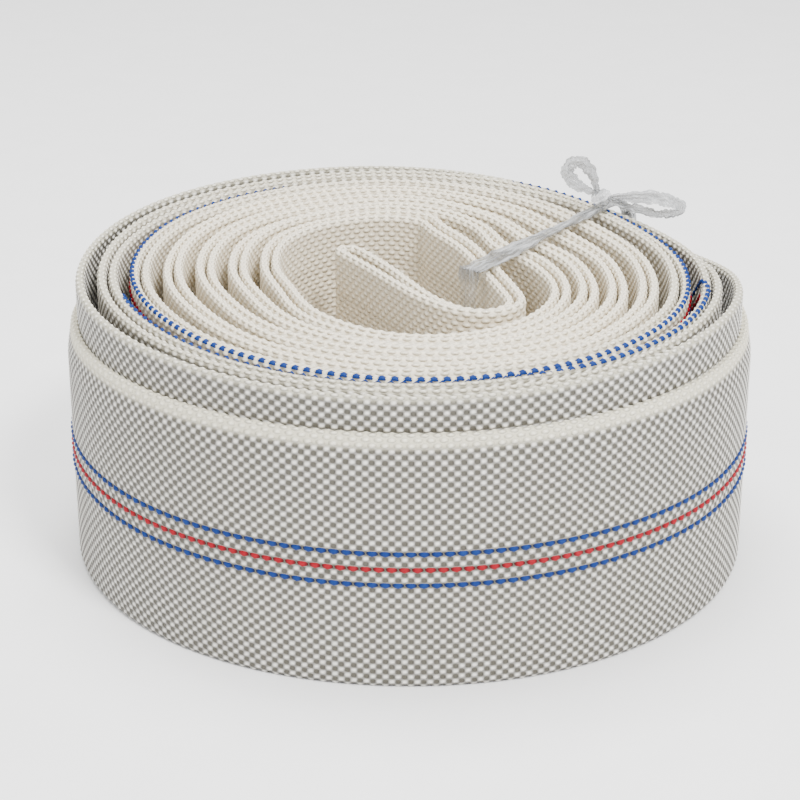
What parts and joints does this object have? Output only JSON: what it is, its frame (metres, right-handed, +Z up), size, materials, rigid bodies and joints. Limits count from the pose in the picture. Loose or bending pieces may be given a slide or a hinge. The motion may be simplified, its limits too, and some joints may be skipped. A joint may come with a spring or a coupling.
{
  "type": "rolled fire hose",
  "caption": "Woven lay-flat fire hose, folded double at its middle, rolled up and tied with a strip of plastic film.",
  "frame": {"origin": "on the floor, under the middle of the roll's bounding box", "axes": "+Z up, along the roll's axis; the fold of the hose's heart is towards -Y, its outer end towards +X"},
  "size_m": [0.292, 0.2824, 0.1518],
  "materials": {
    "jacket": "matt woven polyester, off-white",
    "lining": "smooth tan rubber",
    "blue_yarn": "blue marker yarn",
    "red_yarn": "red marker yarn",
    "film": "gathered translucent film"
  },
  "bodies": {
    "root": {"hose_jacket": "jacket", "hose_lining": "lining", "marker_yarn_blue_upper": "blue_yarn", "marker_yarn_red": "red_yarn", "marker_yarn_blue_lower": "blue_yarn", "tie_band": "film", "tie_knot": "film", "tie_loop_left": "film", "tie_loop_right": "film"}
  },
  "joints": []
}
